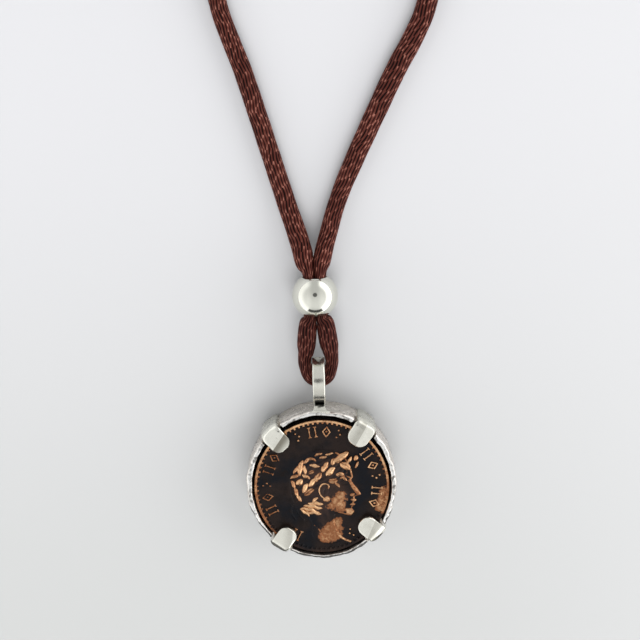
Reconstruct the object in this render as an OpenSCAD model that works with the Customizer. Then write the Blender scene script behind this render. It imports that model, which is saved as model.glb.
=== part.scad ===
// A struck coin held by four claws in a cast cup, hung from a ring bail on a knitted cord.
// The pendant lies on its back: +Z is up out of the table and +Y runs from the coin to the bail.
// The origin is the middle of the cup's flat back. All sizes are in millimetres.

/* [Coin] */
// Width of the coin
coin_d = 30; // [27:0.2:33]
// Extra length of the coin along Y, for it is slightly oval
coin_oval = 0.9; // [0:0.1:1.2]
// Thickness of the coin from its back to its field
coin_t = 2.4; // [1.8:0.1:3]
// Height of the tallest relief above the field
relief_h = 0.8; // [0.3:0.05:1]
// Height of the border above the field
border_h = 0.4; // [0.2:0.05:0.5]
// Width of the raised line at the coin's edge
border_w = 0.65; // [0.4:0.05:0.9]
// Diameter of a pellet in the border
pellet_d = 0.85; // [0.6:0.05:1]
// Height of the marks round the border above the field
mark_h = 0.35; // [0.15:0.05:0.5]
// Distance from the coin's centre to the ring of marks
mark_ring_r = 12.2; // [11.2:0.1:12.6]

/* [Cup] */
// Space between the coin and the wall at the sides
coin_gap = 0.4; // [0.2:0.05:0.8]
// Thickness of the wall round the coin
wall_t = 1; // [0.8:0.05:1.6]
// Extra length of the cup along Y, for it is slightly oval
oval = 1.4; // [1.2:0.1:2]
// How far the coin has dropped from the middle of the cup
coin_drop = 0.4; // [0.2:0.05:0.5]
// Height of the cup from its back to the rim
cup_h = 9; // [8:0.1:11]
// Thickness of the closed back
back_t = 1.2; // [0.8:0.1:2]
// Depth of the coin's field below the rim
recess = 1.3; // [0.8:0.1:1.8]
// Width of the ledge that the coin rests on
ledge_w = 1.6; // [1:0.1:2.5]
// Depth of the hammer marks on the outside of the wall
hammer = 0.16; // [0:0.02:0.3]
// Space left under and round a piece that is set in another
seat_gap = 0.05; // [0.02:0.01:0.1]

/* [Claws] */
// Width of a claw
claw_w = 4.7; // [3.6:0.1:5.4]
// How far a claw stands out from the wall
claw_proud = 0.9; // [0.5:0.1:1.4]
// Thickness of a claw where it lies over the coin
claw_t = 1.7; // [1.2:0.1:2.2]
// Distance from a claw's outer face to its tip
claw_reach = 6; // [5:0.1:7]
// Radius of a claw's outer bend
claw_bend = 2.4; // [1.6:0.1:3]
// Space between a claw and the border of the coin
claw_gap = 0.1; // [0.05:0.01:0.2]
// Width of the slot in the rim beside a claw
slot_w = 0.55; // [0.3:0.05:0.8]
// Depth of that slot below the rim
slot_depth = 3.2; // [2:0.1:3.6]

/* [Bail] */
// Outer diameter of the ring
bail_d = 10.4; // [9:0.1:11]
// Thickness of the ring's band
bail_t = 1.3; // [1:0.1:1.5]
// Width of the ring's band
bail_w = 2.7; // [2.2:0.1:2.8]
// Space between the ring and the wall, which the foot fills
bail_gap = 0.85; // [0.4:0.05:1.1]
// Width of the foot where it meets the rim
foot_w = 4.4; // [3.4:0.1:6]
// Height of the foot's flare under the rim
flare_h = 1.3; // [0.6:0.1:3]
// Rounding of the band's edges
band_round = 0.3; // [0.1:0.05:0.45]

/* [Bead] */
// Diameter of the ball bead
bead_d = 10; // [9.4:0.1:12]
// Diameter of the hole that both strands pass through
bead_hole_d = 5.4; // [5.3:0.1:6]
// Distance from the ring's middle to the bead's middle
bead_up = 18.95; // [18.5:0.05:19.5]
// How far the bead sits to the left of the pendant's axis
bead_left = 0.3; // [0.2:0.05:0.4]

/* [Cord] */
// Diameter of the knitted cord
cord_d = 4; // [3.5:0.1:4.1]

/* [Clasp] */
// Diameter of the barrel clasp
clasp_d = 6.6; // [6:0.1:8]
// Length of the barrel clasp
clasp_l = 22; // [18:0.5:26]
// Depth of the socket that each end of the cord goes into
socket_depth = 5.3; // [5.2:0.1:7]
// Space between the cord and the socket's wall
socket_gap = 0.15; // [0.1:0.05:0.3]

/* [Hidden] */
$fn = 64;

coin_r = coin_d / 2;
mouth_w = coin_d + 2 * coin_gap;
mouth_l = mouth_w + oval;
cup_w = mouth_w + 2 * wall_t;
cup_l = mouth_l + 2 * wall_t;
seat_z = cup_h - recess - coin_t;
field_z = seat_z + seat_gap + coin_t;
claw_under_z = field_z + border_h + claw_gap;
claw_top_z = claw_under_z + claw_t;
bail_y = cup_l / 2 + bail_gap + bail_d / 2;
bail_z = bail_d / 2;
bead_y = bail_y + bead_up;
clasp_x = 3;
clasp_y = 216;
overlap = 0.3;

// One row for each claw.
// angle: where the claw stands round the coin; width: its share of claw_w
CLAWS = [
    [53.5, 1.06],
    [131, 1],
    [234.3, 0.92],
    [316.4, 0.98]
];

// The cord's route, from one socket of the clasp down through the bead, round in the bail and back.
// x, y, z: its middle; across and high: its section's shares of cord_d, level and upright
ROUTE = [
    [-3, 216, 3.3, 1, 1], [-8, 216, 3.3, 1, 1], [-14, 214.5, 2.3, 1, 0.94], [-19, 208.5, 1.8, 1, 0.88],
    [-21.3, 186, 1.8, 1, 0.88], [-21.3, 124, 1.8, 0.96, 0.88], [-18.9, 104.5, 1.8, 0.92, 0.88],
    [-13.6, 88.3, 1.8, 0.97, 0.88], [-6.1, 62.6, 1.8, 1, 0.88], [-3.4, 54, 3.2, 1.05, 0.9],
    [-2.35, 49.4, 4.5, 1, 0.92], [-1.52, 46.3, 5, 0.62, 0.96], [-1.52, 38, 5, 0.62, 0.96],
    [-1.95, 35.9, 4.9, 0.95, 0.92], [-2.47, 31.6, 4.7, 1, 0.92], [-2.62, 29.7, 4.65, 0.87, 0.94],
    [-2.9, 28.3, 4.6, 0.74, 0.96], [-2.9, 26.6, 4.5, 0.7, 0.96], [-2, 23.9, 4.4, 0.7, 0.96],
    [0, 23, 4.4, 0.7, 0.96], [2, 23.9, 4.4, 0.7, 0.96], [2.9, 26.6, 4.5, 0.7, 0.96],
    [2.9, 28.3, 4.6, 0.74, 0.96], [2.68, 29.7, 4.65, 0.86, 0.94], [2.38, 31.6, 4.7, 1, 0.92],
    [1.7, 35.9, 4.9, 0.95, 0.92], [0.92, 38, 5, 0.62, 0.96], [0.92, 46.3, 5, 0.62, 0.96],
    [1.3, 49.3, 4.5, 0.93, 0.92], [2.5, 53.8, 3.2, 0.94, 0.9], [5.2, 62.3, 1.8, 0.92, 0.88],
    [8.9, 70.8, 1.8, 1, 0.88], [17, 87.4, 1.8, 1.07, 0.88], [24.9, 103.3, 1.8, 1.05, 0.88],
    [27.4, 124, 1.8, 1, 0.88], [27.3, 186, 1.8, 1, 0.88], [24.6, 208.5, 1.8, 1, 0.88],
    [19.8, 214.5, 2.3, 1, 0.94], [14, 216, 3.3, 1, 1], [9, 216, 3.3, 1, 1]
];
CORD_SIDES = 8;

// Everything below is on the coin's face, in shares of the coin's radius from its centre.

// The head's outline, from the hairline down a plain classical profile, round the neck and up the back.
HEAD = [
    [0.405, 0.355], [0.445, 0.24], [0.465, 0.135], [0.445, 0.075], [0.58, -0.13], [0.485, -0.175],
    [0.505, -0.23], [0.47, -0.265], [0.49, -0.3], [0.445, -0.34], [0.47, -0.41], [0.405, -0.47],
    [0.24, -0.425], [0.175, -0.475], [0.195, -0.65], [0.31, -0.825], [0.07, -0.9], [-0.16, -0.785],
    [-0.175, -0.54], [-0.365, -0.38], [-0.475, -0.07], [-0.465, 0.2], [-0.34, 0.43], [-0.07, 0.57],
    [0.2, 0.535], [0.35, 0.445]
];

// Leaves of the wreath. x, y: the leaf's middle; turn: its direction; long and wide: its size; high: relief
LEAVES = [
    [0.288, 0.442, 33, 0.3, 0.115, 1], [0.175, 0.385, 62, 0.12, 0.08, 0.9],
    [0.51, 0.43, 70, 0.1, 0.08, 0.9], [0.42, 0.405, 60, 0.12, 0.06, 0.9],
    [0.355, 0.315, -35, 0.18, 0.13, 1], [0.52, 0.325, 65, 0.12, 0.055, 0.85],
    [0.27, 0.187, 0, 0.13, 0.075, 0.9], [0.168, 0.09, 6, 0.15, 0.09, 0.9],
    [0.048, 0.307, 60, 0.19, 0.1, 1], [0.13, 0.236, 45, 0.19, 0.1, 1], [-0.055, 0.145, 50, 0.2, 0.1, 1],
    [-0.13, 0.08, 47, 0.19, 0.085, 0.95], [-0.25, -0.01, 64, 0.17, 0.085, 0.9],
    [-0.19, -0.075, 34, 0.19, 0.085, 0.85], [-0.325, 0.08, 40, 0.13, 0.1, 0.9],
    [-0.225, 0.165, -30, 0.14, 0.065, 0.9], [-0.15, 0.23, 20, 0.1, 0.065, 0.85],
    [-0.1, 0.33, -12, 0.17, 0.06, 0.85]
];

// Locks of hair, with the same columns.
LOCKS = [
    [-0.31, 0.3, 78, 0.26, 0.085, 0.85], [-0.375, 0.27, 55, 0.16, 0.06, 0.8],
    [-0.245, 0.27, 98, 0.15, 0.06, 0.8], [-0.4, 0.17, 24, 0.15, 0.065, 0.75],
    [-0.42, 0.05, -65, 0.14, 0.06, 0.7], [-0.13, 0.43, -20, 0.14, 0.05, 0.75],
    [-0.21, 0.41, 38, 0.14, 0.055, 0.7], [-0.04, 0.5, 20, 0.13, 0.045, 0.7],
    [0.03, 0.455, 12, 0.12, 0.045, 0.7], [0.12, 0.5, 12, 0.13, 0.04, 0.65],
    [-0.38, -0.07, 108, 0.15, 0.06, 0.7], [-0.34, -0.17, 124, 0.13, 0.055, 0.7],
    [0.33, 0.12, -32, 0.12, 0.05, 0.7], [0.23, 0.03, -52, 0.11, 0.045, 0.65],
    [-0.11, -0.2, 48, 0.13, 0.06, 0.75], [-0.1, -0.25, -4, 0.24, 0.065, 0.85],
    [-0.14, -0.3, -10, 0.3, 0.07, 0.9], [-0.18, -0.35, -16, 0.3, 0.07, 0.9],
    [-0.14, -0.4, -6, 0.26, 0.065, 0.85], [-0.26, -0.39, -40, 0.19, 0.06, 0.8]
];

// Plain marks round the border, one group a row.
// turn: place round the coin; kind: 0 a lozenge, 1 two bars, 2 three pellets
MARKS = [
    [205, 1], [190, 0], [175, 2], [160, 1], [146, 0], [112, 2], [98, 1], [84, 0], [70, 2],
    [36, 1], [22, 0], [8, 2], [-6, 1], [-20, 0], [-62, 2], [-118, 1]
];

function oval_r(width, length, angle) =
    1 / sqrt(pow(cos(angle) * 2 / width, 2) + pow(sin(angle) * 2 / length, 2));

// Outline of the cup: an oval with shallow hammer marks
function cup_outline(grow = 0) = [
    for (i = [0:47])
        let (a = i * 360 / 48, r = oval_r(cup_w, cup_l, a) + grow + hammer * sin(7 * a) * cos(4 * a + 50))
        [r * cos(a), r * sin(a)]
];

// Outline of the coin, drawn in by an inset
function coin_edge(inset) = [
    for (i = [0:71])
        let (a = i * 5) [(coin_r - inset) * cos(a), (coin_r + coin_oval / 2 - inset) * sin(a)]
];

function arc(centre, radius, from, to, steps = 8) = [
    for (i = [0:steps])
        let (a = from + (to - from) * i / steps)
        [centre[0] + radius * cos(a), centre[1] + radius * sin(a)]
];

// A pointed leaf shape along X
function leaf(long, wide, steps = 5) = concat(
    [for (i = [0:steps - 1]) [-long / 2 + long * i / steps, wide / 2 * sin(180 * i / steps)]],
    [for (i = [0:steps - 1]) [long / 2 - long * i / steps, -wide / 2 * sin(180 * i / steps)]]
);

// A block with round edges along X, for a band's section
function round_bar(width, thick, r) = concat(
    arc([width / 2 - r, thick / 2 - r], r, 0, 90, 4), arc([r - width / 2, thick / 2 - r], r, 90, 180, 4),
    arc([r - width / 2, r - thick / 2], r, 180, 270, 4), arc([width / 2 - r, r - thick / 2], r, 270, 360, 4)
);

// Catmull-Rom curve through four points
function through(a, b, c, d, t) =
    0.5 * (2 * b + (c - a) * t + (2 * a - 5 * b + 4 * c - d) * t * t + (3 * b - a - 3 * c + d) * pow(t, 3));

function on_route(i, t) =
    through(ROUTE[max(i - 1, 0)], ROUTE[i], ROUTE[i + 1], ROUTE[min(i + 2, len(ROUTE) - 1)], t);

function place(row) = [row[0], row[1], row[2]];

// Rings for a swept tube: the route's points and the middles between them
RINGS = concat(
    [for (i = [0:len(ROUTE) - 2], t = [0, 0.5]) if (i > 0 || t == 0) on_route(i, t)],
    [ROUTE[len(ROUTE) - 1]]
);

function heading(i) =
    let (d = place(RINGS[min(i + 1, len(RINGS) - 1)]) - place(RINGS[max(i - 1, 0)])) d / norm(d);

function ring_points(i) =
    let (
        forward = heading(i),
        flat = [forward[1], -forward[0], 0],
        side = flat / norm(flat),
        up = cross(side, forward),
        row = RINGS[i]
    )
    [for (k = [0:CORD_SIDES - 1])
        let (a = (k + 0.5) * 360 / CORD_SIDES)
        place(row) + side * cos(a) * row[3] * cord_d / 2 + up * sin(a) * row[4] * cord_d / 2];

module tube() {
    n = len(RINGS);
    s = CORD_SIDES;
    polyhedron(
        points = [for (i = [0:n - 1]) each ring_points(i)],
        faces = concat(
            [[for (k = [0:s - 1]) k]],
            [for (i = [0:n - 2], k = [0:s - 1]) let (j = (k + 1) % s)
                [i * s + k, (i + 1) * s + k, (i + 1) * s + j, i * s + j]],
            [[for (k = [0:s - 1]) n * s - 1 - k]]
        )
    );
}

// The cast cup

module cup_body() {
    difference() {
        linear_extrude(cup_h) polygon(cup_outline());
        translate([0, 0, seat_z])
            linear_extrude(cup_h)
                polygon([for (i = [0:47]) let (a = i * 7.5) [mouth_w / 2 * cos(a), mouth_l / 2 * sin(a)]]);
        translate([0, -coin_drop, back_t]) cylinder(h = cup_h, r = coin_r - ledge_w);
        for (row = CLAWS)
            rotate([0, 0, row[0]])
                translate([coin_r, -claw_w * row[1] / 2 - slot_w, cup_h - slot_depth])
                    cube([cup_l, claw_w * row[1] + 2 * slot_w, cup_h]);
    }
}

// Side view of a claw: x is the distance from the cup's axis and y is the height
function claw_side(wall_r) =
    let (outer = wall_r + claw_proud, inner = wall_r - wall_t, tip = outer - claw_reach)
    concat(
        [[inner, 0], [outer - claw_proud / 2, 0], [outer, claw_proud]],
        arc([outer - claw_bend, claw_top_z - claw_bend], claw_bend, 0, 90),
        arc([tip + claw_t / 2, claw_under_z + claw_t / 2], claw_t / 2, 100, 270),
        [[inner, claw_under_z]]
    );

// Plan of a claw, with a round tip
function claw_plan(wall_r, width) =
    let (outer = wall_r + claw_proud, tip = outer - claw_reach, r = 0.42 * width)
    concat(
        [[outer + overlap, -width / 2], [outer + overlap, width / 2]],
        arc([tip + r, width / 2 - r], r, 90, 180),
        arc([tip + r, r - width / 2], r, 180, 270)
    );

module claw(angle, width) {
    wall_r = oval_r(cup_w, cup_l, angle);
    rotate([0, 0, angle])
        intersection() {
            rotate([90, 0, 0])
                linear_extrude(width + 2 * overlap, center = true) polygon(claw_side(wall_r));
            linear_extrude(claw_top_z + overlap) polygon(claw_plan(wall_r, width));
        }
}

module bail_ring() {
    translate([0, bail_y, bail_z])
        rotate([0, 90, 0])
            rotate_extrude()
                translate([(bail_d - bail_t) / 2, 0])
                    rotate([0, 0, 90])
                        polygon(round_bar(bail_w, bail_t, band_round));
}

// The foot that joins the ring to the wall: a narrow web that flares sideways only at the rim
module bail_foot() {
    neck = bail_w * 0.86 / 2;
    base_y = cup_l / 2 - wall_t * 0.8;
    neck_y = bail_y - bail_d * 0.42;
    flare = foot_w / 2 - neck;
    difference() {
        intersection() {
            union() {
                translate([-neck, base_y, 0]) cube([2 * neck, neck_y + bail_t - base_y, cup_h]);
                translate([0, 0, cup_h - flare_h])
                    linear_extrude(flare_h)
                        polygon(concat(
                            [[-foot_w / 2, base_y]],
                            arc([-foot_w / 2, cup_l / 2 + flare], flare, -90, 0, 5),
                            arc([foot_w / 2, cup_l / 2 + flare], flare, 180, 270, 5),
                            [[foot_w / 2, base_y]]
                        ));
            }
            rotate([90, 0, 90])
                linear_extrude(foot_w + 2 * overlap, center = true)
                    polygon([
                        [base_y, cup_h * 0.1], [cup_l / 2, cup_h * 0.12], [neck_y, cup_h * 0.26],
                        [bail_y, bail_z], [neck_y, cup_h * 0.88], [cup_l / 2 + bail_gap / 2, cup_h * 0.97],
                        [base_y, cup_h * 0.99]
                    ]);
        }
        translate([0, bail_y, bail_z])
            rotate([0, 90, 0])
                cylinder(h = foot_w + 4 * overlap, r = bail_d / 2 - bail_t / 2, center = true);
    }
}

module setting() {
    color([0.8, 0.8, 0.78])
        union() {
            cup_body();
            for (row = CLAWS) claw(row[0], claw_w * row[1]);
            bail_ring();
            bail_foot();
        }
}

// The coin, with its raised relief

module raised(x, y, turn, high) {
    translate([x * coin_r, y * coin_r, coin_t - overlap])
        rotate([0, 0, turn])
            linear_extrude(high + overlap)
                children();
}

module border() {
    pellets = floor(360 / asin(1.25 * pellet_d / (coin_r - border_w)));
    ring_r = coin_r - border_w - pellet_d * 0.2;
    translate([0, 0, coin_t - overlap])
        difference() {
            linear_extrude(border_h + overlap) polygon(coin_edge(0.15));
            translate([0, 0, -overlap]) linear_extrude(border_h + 3 * overlap) polygon(coin_edge(border_w));
        }
    for (i = [0:pellets - 1])
        let (a = i * 360 / pellets)
            translate([ring_r * cos(a), (ring_r + coin_oval / 2) * sin(a), coin_t - overlap])
                cylinder(h = border_h * 0.9 + overlap, d = pellet_d, $fn = 16);
}

module mark(turn, kind) {
    size = coin_r * 0.15;
    rotate([0, 0, turn])
        translate([mark_ring_r + coin_oval / 2 * pow(sin(turn), 2), 0, coin_t - overlap])
            if (kind == 0)
                linear_extrude(mark_h + overlap)
                    polygon([[size / 2, 0], [0, size * 0.36], [-size / 2, 0], [0, -size * 0.36]]);
            else if (kind == 1)
                for (side = [-1, 1])
                    translate([-size / 2, side * size * 0.3 - size * 0.1, 0])
                        cube([size, size * 0.2, mark_h + overlap]);
            else
                for (step = [-1, 0, 1])
                    translate([step * size * 0.36, abs(step) * size * 0.25, 0])
                        cylinder(h = mark_h + overlap, d = size * 0.3, $fn = 16);
}

module portrait() {
    translate([0, 0, coin_t - overlap])
        linear_extrude(relief_h * 0.5 + overlap)
            polygon([for (p = HEAD) p * coin_r]);
    for (row = LEAVES)
        raised(row[0], row[1], row[2], relief_h * row[5]) polygon(leaf(row[3] * coin_r, row[4] * coin_r));
    for (row = LOCKS)
        raised(row[0], row[1], row[2], relief_h * row[5]) polygon(leaf(row[3] * coin_r, row[4] * coin_r));
    // Cheek, jaw and brow stand above the head's outline, and so does the ear
    raised(0.26, -0.17, 20, relief_h * 0.72) circle(r = 0.12 * coin_r);
    raised(0.3, -0.32, -20, relief_h * 0.62) polygon(leaf(0.26 * coin_r, 0.12 * coin_r));
    raised(0.385, 0.12, 12, relief_h * 0.7) polygon(leaf(0.14 * coin_r, 0.045 * coin_r));
    raised(0.03, -0.07, 80, relief_h * 0.85) polygon(leaf(0.25 * coin_r, 0.12 * coin_r));
}

module coin() {
    color([0.35, 0.24, 0.18])
        translate([0, -coin_drop, seat_z + seat_gap])
            union() {
                linear_extrude(coin_t) polygon(coin_edge(0));
                border();
                for (row = MARKS) mark(row[0], row[1]);
                portrait();
            }
}

module bead() {
    color([0.85, 0.85, 0.83])
        translate([-bead_left, bead_y, bead_d / 2])
            rotate([90, 0, 0])
                rotate_extrude()
                    difference() {
                        circle(d = bead_d);
                        translate([-bead_d, -bead_d]) square([bead_d + bead_hole_d / 2, 2 * bead_d]);
                    }
}

module cord() {
    color([0.38, 0.18, 0.14]) tube();
}

module clasp() {
    socket_d = cord_d + 2 * socket_gap;
    lip = (clasp_d - socket_d) / 4;
    color([0.85, 0.85, 0.83])
        translate([clasp_x, clasp_y, clasp_d / 2])
            rotate([0, 90, 0])
                difference() {
                    rotate_extrude()
                        polygon([
                            [0, -clasp_l / 2], [clasp_d / 2 - lip, -clasp_l / 2],
                            [clasp_d / 2, lip - clasp_l / 2], [clasp_d / 2, clasp_l / 2 - lip],
                            [clasp_d / 2 - lip, clasp_l / 2], [0, clasp_l / 2]
                        ]);
                    for (end = [-1, 1])
                        translate([0, 0, end * (clasp_l / 2 - socket_depth / 2 + overlap / 2)])
                            cylinder(h = socket_depth + overlap, d = socket_d, center = true);
                }
}

setting();
coin();
bead();
cord();
clasp();
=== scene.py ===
# %% [markdown]
# # A coin pendant on a knitted cord
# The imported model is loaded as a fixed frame, in metres. Its solids give every piece its place.
# This script adds what the solids leave out: the knit of the cord, the struck relief of the coin,
# the hammered rim and the polished claws, and a finish for each of them.

# %% Load the frame
import math

import bmesh
import bpy
import numpy as np
from mathutils import Matrix, Vector, noise


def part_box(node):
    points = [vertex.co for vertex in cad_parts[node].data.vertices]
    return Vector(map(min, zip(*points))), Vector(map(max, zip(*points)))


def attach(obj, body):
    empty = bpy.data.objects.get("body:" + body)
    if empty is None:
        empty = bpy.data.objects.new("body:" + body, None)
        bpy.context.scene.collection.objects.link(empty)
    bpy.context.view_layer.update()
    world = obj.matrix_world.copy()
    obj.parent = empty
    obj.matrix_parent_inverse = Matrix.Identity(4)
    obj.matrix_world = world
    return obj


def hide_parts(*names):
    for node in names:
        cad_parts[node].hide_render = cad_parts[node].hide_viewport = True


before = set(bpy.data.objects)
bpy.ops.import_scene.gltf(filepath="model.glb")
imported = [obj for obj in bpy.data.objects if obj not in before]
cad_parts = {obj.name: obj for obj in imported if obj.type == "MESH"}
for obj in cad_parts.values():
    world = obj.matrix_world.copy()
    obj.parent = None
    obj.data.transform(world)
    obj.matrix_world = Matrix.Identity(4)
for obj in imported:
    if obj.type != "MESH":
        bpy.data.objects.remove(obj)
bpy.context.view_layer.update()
MM = 0.001
print("solids:", sorted(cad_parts))

# %% [markdown]
# ## The camera
# The photograph was taken from almost straight above, about 30 cm away, leaning back 12 degrees.
# A camera looks along its own -Z, so its turn is built from three directions: right, up and back.

# %% Place the camera
EYE_MM, LENS = (2.37, 99.41, 293.11), 76.4
TILT, ROLL = math.radians(12.3), math.radians(1.6)
right = Vector((math.cos(ROLL), -math.sin(ROLL), 0))
up = Vector((math.sin(ROLL) * math.cos(TILT), math.cos(ROLL) * math.cos(TILT), -math.sin(TILT)))
back = right.cross(up)
camera_data = bpy.data.cameras.new("camera")
camera_data.lens = LENS
camera_data.clip_start, camera_data.clip_end = 0.01, 20
camera = bpy.data.objects.new("camera", camera_data)
facing = Matrix((right, up, back)).transposed().to_4x4()
camera.matrix_world = Matrix.Translation(Vector(EYE_MM) * MM) @ facing
bpy.context.scene.collection.objects.link(camera)
bpy.context.scene.camera = camera
print("camera at", [round(x, 3) for x in camera.location])

# %% [markdown]
# ## Shader maths as ordinary maths
# A Wire is one socket of a node. Adding or multiplying wires adds the Math nodes that do it,
# so a finish can be read as a formula. A Finish is a material with its Principled shader. A socket is
# set to a plain value or to a wire.


# %% Wires and finishes
class Wire:
    def __init__(self, finish, socket):
        self.finish, self.socket = finish, socket

    def math(self, operation, *others):
        return self.finish.node("ShaderNodeMath", {"operation": operation}, dict(enumerate((self, *others))))

    def __add__(self, other):
        return self.math("ADD", other)

    def __sub__(self, other):
        return self.math("SUBTRACT", other)

    def __mul__(self, other):
        return self.math("MULTIPLY", other)

    def __truediv__(self, other):
        return self.math("DIVIDE", other)

    def __rsub__(self, other):
        return self.finish.node("ShaderNodeMath", {"operation": "SUBTRACT"}, {0: other, 1: self})

    __radd__, __rmul__ = __add__, __mul__


class Finish:
    def __init__(self, name, **constants):
        self.material = bpy.data.materials.new(name)
        self.material.use_nodes = True
        self.tree = self.material.node_tree
        self.surface = self.tree.nodes["Principled BSDF"]
        for socket, value in constants.items():
            self.surface.inputs[socket.replace("_", " ")].default_value = value

    def link(self, value, socket):
        if isinstance(value, Wire):
            self.tree.links.new(value.socket, socket)
        else:
            socket.default_value = value

    def node(self, kind, settings=None, sockets=None, out=0):
        made = self.tree.nodes.new(kind)
        for key, value in (settings or {}).items():
            setattr(made, key, value)
        for key, value in (sockets or {}).items():
            self.link(value, made.inputs[key])
        return Wire(self, made.outputs[out])

    def set(self, socket, value):
        self.link(value, self.surface.inputs[socket])

    def place(self):
        return self.node("ShaderNodeTexCoord", out="Object")

    def parts(self, vector):
        """The x, y and z of a vector."""
        made = self.node("ShaderNodeSeparateXYZ", {}, {0: vector}).socket.node
        return [Wire(self, socket) for socket in made.outputs]

    def attribute(self, name):
        return self.node("ShaderNodeAttribute", {"attribute_name": name}, out="Fac")

    def noise(self, scale, detail=3, roughness=0.55, place=None, distortion=0):
        values = {"Scale": scale, "Detail": detail, "Roughness": roughness, "Distortion": distortion}
        return self.node("ShaderNodeTexNoise", {}, {"Vector": place or self.place(), **values})

    def step(self, value, low, high, to_low=0.0, to_high=1.0):
        """A soft step of the value from to_low at low to to_high at high."""
        return self.node(
            "ShaderNodeMapRange",
            {"interpolation_type": "SMOOTHSTEP"},
            {"Value": value, "From Min": low, "From Max": high, "To Min": to_low, "To Max": to_high},
        )

    def mix(self, factor, a, b):
        return self.node("ShaderNodeMix", {"data_type": "RGBA"}, {0: factor, 6: a, 7: b}, out=2)

    def bump(self, height, distance, strength):
        sockets = {"Height": height, "Distance": distance, "Strength": strength}
        return self.node("ShaderNodeBump", {}, sockets)


def rgb(*colour):
    """A colour picked in 0 to 255 steps, as the straight light values that shaders use."""
    shares = [c / 255 for c in colour]
    return (*(((s + 0.055) / 1.055) ** 2.4 if s > 0.04 else s / 12.92 for s in shares), 1.0)


# %% [markdown]
# ## Pieces and rolled sheets
# Each new piece is a mesh with its place in its points and its object at the origin. A tube or a bent
# bar starts as a flat grid. It is rolled up by moving its points, its seam is merged and its ends are
# closed. This keeps the grid's own UV map, so a pattern can follow the length.


# %% Make a piece, roll a sheet, turn a profile
def placed(bm, name):
    """Turns a bmesh into an object of the scene."""
    mesh = bpy.data.meshes.new(name)
    bm.to_mesh(mesh)
    bm.free()
    made = bpy.data.objects.new(name, mesh)
    bpy.context.scene.collection.objects.link(made)
    return made


def finish_piece(bm, name, material):
    """A smooth-shaded piece on the root body, with its normals outwards."""
    bmesh.ops.recalc_face_normals(bm, faces=bm.faces)
    piece = placed(bm, name)
    piece.data.materials.append(material)
    piece.data.polygons.foreach_set("use_smooth", [True] * len(piece.data.polygons))
    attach(piece, "root")
    print(name, len(piece.data.polygons), "faces")
    return piece


def close_holes(bm):
    bmesh.ops.holes_fill(bm, edges=[e for e in bm.edges if e.is_boundary], sides=0)


def rolled(around, along, place):
    """A closed tube. place(u, v) takes arrays from 0 to 1 and gives points in millimetres."""
    bm = bmesh.new()
    bm.loops.layers.uv.new("UVMap")
    bmesh.ops.create_grid(bm, x_segments=around, y_segments=along, size=0.5, calc_uvs=True)
    flat = np.array([v.co for v in bm.verts])
    points = place(flat[:, 0] + 0.5, flat[:, 1] + 0.5) * MM
    for vert, point in zip(bm.verts, points):
        vert.co = point
    bmesh.ops.remove_doubles(bm, verts=bm.verts, dist=2e-6)
    close_holes(bm)
    return bm


def turned(profile, centre, axis, steps):
    """A closed shape made by spinning a profile, given as (distance from the axis, place along it)."""
    bm = bmesh.new()
    verts = [bm.verts.new((r * MM, 0, z * MM)) for r, z in profile]
    edges = [bm.edges.new((a, b)) for a, b in zip(verts, verts[1:] + verts[:1])]
    bmesh.ops.spin(
        bm, geom=verts + edges, cent=(0, 0, 0), axis=(0, 0, 1), angle=math.tau, steps=steps, use_merge=True
    )
    bmesh.ops.remove_doubles(bm, verts=bm.verts, dist=1e-7)
    turn = Vector((0, 0, 1)).rotation_difference(Vector(axis)).to_matrix().to_4x4()
    bmesh.ops.transform(bm, matrix=Matrix.Translation(Vector(centre) * MM) @ turn, verts=bm.verts)
    return bm


def arc(centre, radius, start, end, steps):
    """Points along an arc, from one angle in degrees to another."""
    turns = [math.radians(start + (end - start) * i / steps) for i in range(steps + 1)]
    return [(centre[0] + radius * math.cos(a), centre[1] + radius * math.sin(a)) for a in turns]


# %% [markdown]
# ## The cord's route
# The cord is one length of round knit. It comes out of one end of the clasp, runs down the left side,
# through the bead, round in the bail's ring and back up the right side. The points are the solid's own.
# A Catmull-Rom curve passes through each of them, so the middle line is smooth. Each row of the route is
# x, y and z in millimetres, and then the cord's width and height there as shares of its diameter.

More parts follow.
